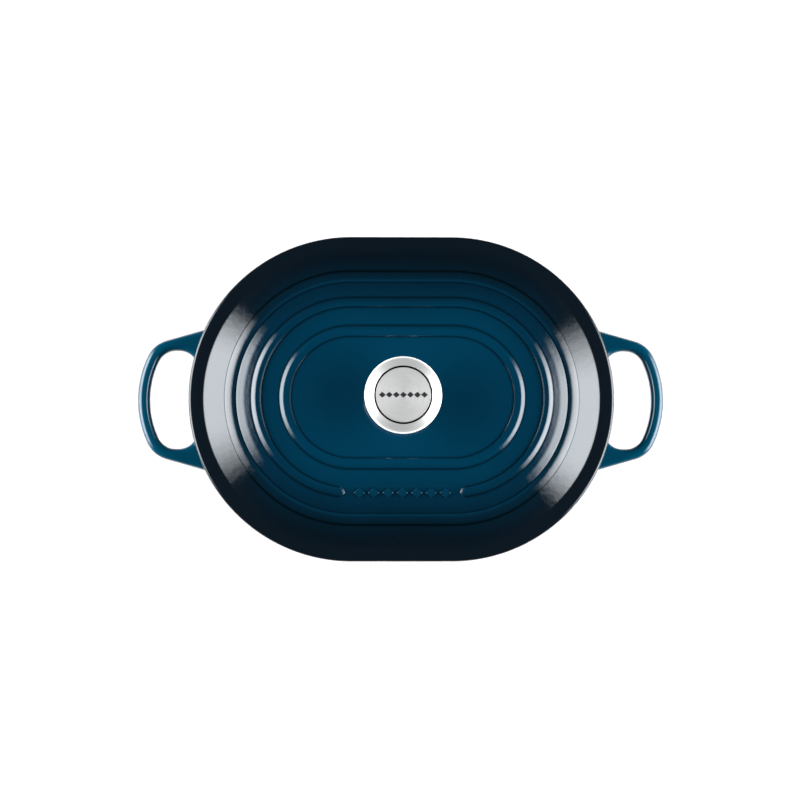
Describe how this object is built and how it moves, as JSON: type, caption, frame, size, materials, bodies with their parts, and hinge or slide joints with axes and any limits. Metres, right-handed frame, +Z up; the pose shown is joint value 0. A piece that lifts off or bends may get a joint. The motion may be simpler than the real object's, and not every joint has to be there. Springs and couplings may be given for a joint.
{
  "type": "cast iron dutch oven",
  "caption": "Oblong enamelled cast iron dutch oven with loop handles and a ribbed lid that lifts off by a round steel knob.",
  "frame": {"origin": "on the table under the middle of the pot", "axes": "+X along the pot towards one handle, +Y towards the back, -Y towards the front where the lid's middle rib has its gap, +Z up"},
  "size_m": [0.3972, 0.2432, 0.1619],
  "materials": {
    "pot_enamel": "glossy enamel over cast iron, deep teal outside with a dark shaded zone near the rim, sand inside, matt black on the bare-looking rim",
    "lid_enamel": "glossy enamel over cast iron, deep teal outside with a dark shaded zone near the rim, sand inside, matt black on the bare-looking rim",
    "knob_steel": "circular brushed stainless steel",
    "cap_steel": "finely brushed stainless steel",
    "turned_steel": "turned steel",
    "plate_steel": "plain stamped steel",
    "gasket_rubber": "matt black heat-proof gasket",
    "screw_steel": "bright stainless steel",
    "washer_steel": "plain stainless steel"
  },
  "bodies": {
    "pot": {"pot": "pot_enamel"},
    "lid": {"lid": "lid_enamel", "knob_shell": "knob_steel", "knob_cap": "cap_steel", "knob_core": "turned_steel", "knob_base_plate": "plate_steel", "knob_gasket": "gasket_rubber", "knob_screw": "screw_steel", "lock_washer": "washer_steel", "flat_washer": "washer_steel"}
  },
  "joints": [
    {"name": "lid_lift", "type": "slide", "parent": "pot", "child": "lid", "axis": [0, 0, 1], "range_m": [0, 0.2]}
  ]
}
